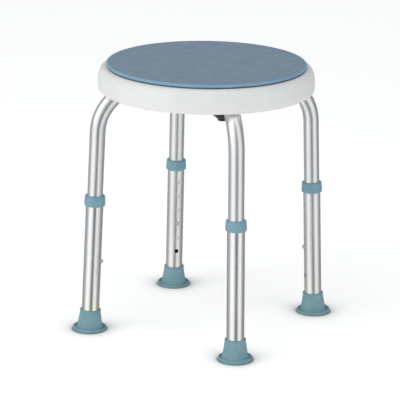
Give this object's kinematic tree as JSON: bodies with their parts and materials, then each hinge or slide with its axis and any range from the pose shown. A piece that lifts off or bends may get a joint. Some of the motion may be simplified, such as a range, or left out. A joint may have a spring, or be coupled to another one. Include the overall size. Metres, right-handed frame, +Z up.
{
  "type": "swivel shower stool",
  "caption": "Round backless shower stool with a turning padded top on a white moulded seat, and splayed tube legs that slide in and out and lock with snap buttons.",
  "frame": {"origin": "on the floor, under the centre of the seat", "axes": "+Z up along the axis that the padded top turns about, -Y to the front; the legs stand on the diagonals between X and Y"},
  "size_m": [0.3524, 0.3524, 0.4428],
  "materials": {
    "white_seat": "moulded white polyethylene, satin",
    "black_plastic": "moulded black nylon",
    "natural_nylon": "unfilled nylon and acetal bearing pieces",
    "grey_base": "moulded polypropylene turntable",
    "anodised_tube": "satin anodised tube",
    "cast_aluminium": "die cast, unpainted",
    "steel": "stainless steel, plain",
    "brass": "machined brass",
    "grey_rubber": "soft blue-grey rubber",
    "grey_collar": "moulded blue-grey plastic",
    "foam_pad": "closed-cell foam with a fine matte skin"
  },
  "bodies": {
    "stool_frame": {"seat_shell": "white_seat", "spindle_bush": "natural_nylon", "glide_ring": "natural_nylon", "leg_hub": "cast_aluminium", "hub_screws": "steel", "spigot_rivets": "steel", "knob_washers": "steel", "knob_inserts": "brass", "upper_leg_front_right": "anodised_tube", "leg_saddle_front_right": "black_plastic", "snap_spring_front_right": "steel", "upper_leg_back_right": "anodised_tube", "leg_saddle_back_right": "black_plastic", "snap_spring_back_right": "steel", "upper_leg_back_left": "anodised_tube", "leg_saddle_back_left": "black_plastic", "snap_spring_back_left": "steel", "upper_leg_front_left": "anodised_tube", "leg_saddle_front_left": "black_plastic", "snap_spring_front_left": "steel"},
    "swivel_pad": {"pad": "foam_pad", "pad_base": "grey_base", "spindle": "steel", "spindle_washer": "steel", "spindle_nut": "steel"},
    "lower_leg_front_right": {"lower_tube_front_right": "anodised_tube", "leg_collar_front_right": "grey_collar", "foot_front_right": "grey_rubber", "foot_washer_front_right": "steel"},
    "button_front_right": {"snap_button_front_right": "steel"},
    "knob_front_right": {"leg_knob_front_right": "black_plastic", "knob_stud_front_right": "steel"},
    "lower_leg_back_right": {"lower_tube_back_right": "anodised_tube", "leg_collar_back_right": "grey_collar", "foot_back_right": "grey_rubber", "foot_washer_back_right": "steel"},
    "button_back_right": {"snap_button_back_right": "steel"},
    "knob_back_right": {"leg_knob_back_right": "black_plastic", "knob_stud_back_right": "steel"},
    "lower_leg_back_left": {"lower_tube_back_left": "anodised_tube", "leg_collar_back_left": "grey_collar", "foot_back_left": "grey_rubber", "foot_washer_back_left": "steel"},
    "button_back_left": {"snap_button_back_left": "steel"},
    "knob_back_left": {"leg_knob_back_left": "black_plastic", "knob_stud_back_left": "steel"},
    "lower_leg_front_left": {"lower_tube_front_left": "anodised_tube", "leg_collar_front_left": "grey_collar", "foot_front_left": "grey_rubber", "foot_washer_front_left": "steel"},
    "button_front_left": {"snap_button_front_left": "steel"},
    "knob_front_left": {"leg_knob_front_left": "black_plastic", "knob_stud_front_left": "steel"}
  },
  "joints": [
    {"name": "seat_swivel", "type": "hinge", "parent": "stool_frame", "child": "swivel_pad", "pos_m": [0, 0, 0.4388], "axis": [0, 0, 1], "continuous": true},
    {"name": "leg_slide_front_right", "type": "slide", "parent": "stool_frame", "child": "lower_leg_front_right", "axis": [0.0281, -0.0281, -0.9992], "range_m": [-0.0508, 0.0762], "deforming": ["snap_button_front_right"]},
    {"name": "leg_slide_back_right", "type": "slide", "parent": "stool_frame", "child": "lower_leg_back_right", "axis": [0.0281, 0.0281, -0.9992], "range_m": [-0.0508, 0.0762], "deforming": ["snap_button_back_right"]},
    {"name": "leg_slide_back_left", "type": "slide", "parent": "stool_frame", "child": "lower_leg_back_left", "axis": [-0.0281, 0.0281, -0.9992], "range_m": [-0.0508, 0.0762], "deforming": ["snap_button_back_left"]},
    {"name": "leg_slide_front_left", "type": "slide", "parent": "stool_frame", "child": "lower_leg_front_left", "axis": [-0.0281, -0.0281, -0.9992], "range_m": [-0.0508, 0.0762], "deforming": ["snap_button_front_left"]},
    {"name": "button_press_front_right", "type": "slide", "parent": "stool_frame", "child": "button_front_right", "axis": [0.7065, -0.7065, 0.0398], "range_m": [0, 0.0049], "stiffness_N_per_m": 2500, "springref_m": -0.001, "deforming": ["snap_spring_front_right"]},
    {"name": "button_press_back_right", "type": "slide", "parent": "stool_frame", "child": "button_back_right", "axis": [0.7065, 0.7065, 0.0398], "range_m": [0, 0.0049], "stiffness_N_per_m": 2500, "springref_m": -0.001, "deforming": ["snap_spring_back_right"]},
    {"name": "button_press_back_left", "type": "slide", "parent": "stool_frame", "child": "button_back_left", "axis": [-0.7065, 0.7065, 0.0398], "range_m": [0, 0.0049], "stiffness_N_per_m": 2500, "springref_m": -0.001, "deforming": ["snap_spring_back_left"]},
    {"name": "button_press_front_left", "type": "slide", "parent": "stool_frame", "child": "button_front_left", "axis": [-0.7065, -0.7065, 0.0398], "range_m": [0, 0.0049], "stiffness_N_per_m": 2500, "springref_m": -0.001, "deforming": ["snap_spring_front_left"]},
    {"name": "knob_turn_front_right", "type": "hinge", "parent": "stool_frame", "child": "knob_front_right", "pos_m": [0.06788, -0.06788, 0.3807], "axis": [0, 0, 1], "continuous": true},
    {"name": "knob_turn_back_right", "type": "hinge", "parent": "stool_frame", "child": "knob_back_right", "pos_m": [0.06788, 0.06788, 0.3807], "axis": [0, 0, 1], "continuous": true},
    {"name": "knob_turn_back_left", "type": "hinge", "parent": "stool_frame", "child": "knob_back_left", "pos_m": [-0.06788, 0.06788, 0.3807], "axis": [0, 0, 1], "continuous": true},
    {"name": "knob_turn_front_left", "type": "hinge", "parent": "stool_frame", "child": "knob_front_left", "pos_m": [-0.06788, -0.06788, 0.3807], "axis": [0, 0, 1], "continuous": true}
  ]
}
